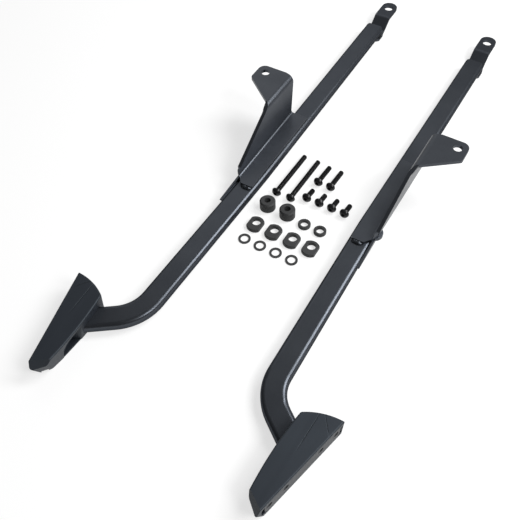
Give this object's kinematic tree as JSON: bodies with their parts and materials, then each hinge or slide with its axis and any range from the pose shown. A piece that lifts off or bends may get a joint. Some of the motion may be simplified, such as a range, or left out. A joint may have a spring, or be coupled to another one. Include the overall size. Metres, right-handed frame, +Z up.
{
  "type": "top case rack",
  "caption": "Flat steel tube arms with folded side brackets, moulded end wings and loose fixing hardware, for holding a top case behind a motorbike's seat.",
  "frame": {"origin": "on the floor under the middle of the laid-out kit", "axes": "+Y along the arms towards their front eyes, +X to the right-hand arm, +Z up from the floor"},
  "size_m": [0.3078, 0.735, 0.066],
  "materials": {
    "tube_paint": "satin",
    "tab_paint": "satin",
    "bracket_paint": "satin",
    "wing_plastic": "satin",
    "bar_metal": "satin",
    "bolt_black": "gloss",
    "washer_black": "satin",
    "spacer_black": "matte"
  },
  "bodies": {
    "root": {"left_tube": "tube_paint", "left_front_tab": "tab_paint", "left_bracket": "bracket_paint", "left_wing": "wing_plastic", "left_mounting_bar": "bar_metal", "right_tube": "tube_paint", "right_front_tab": "tab_paint", "right_bracket": "bracket_paint", "right_wing": "wing_plastic", "right_mounting_bar": "bar_metal", "long_bolts": "bolt_black", "medium_bolts": "bolt_black", "short_bolts": "bolt_black", "washers": "washer_black", "tall_spacer_1": "spacer_black", "tall_spacer_2": "spacer_black", "ring_spacer_1": "spacer_black", "ring_spacer_2": "spacer_black", "flat_sided_spacer_1": "spacer_black", "flat_sided_spacer_2": "spacer_black", "flat_sided_spacer_3": "spacer_black", "flat_sided_spacer_4": "spacer_black"}
  },
  "joints": []
}
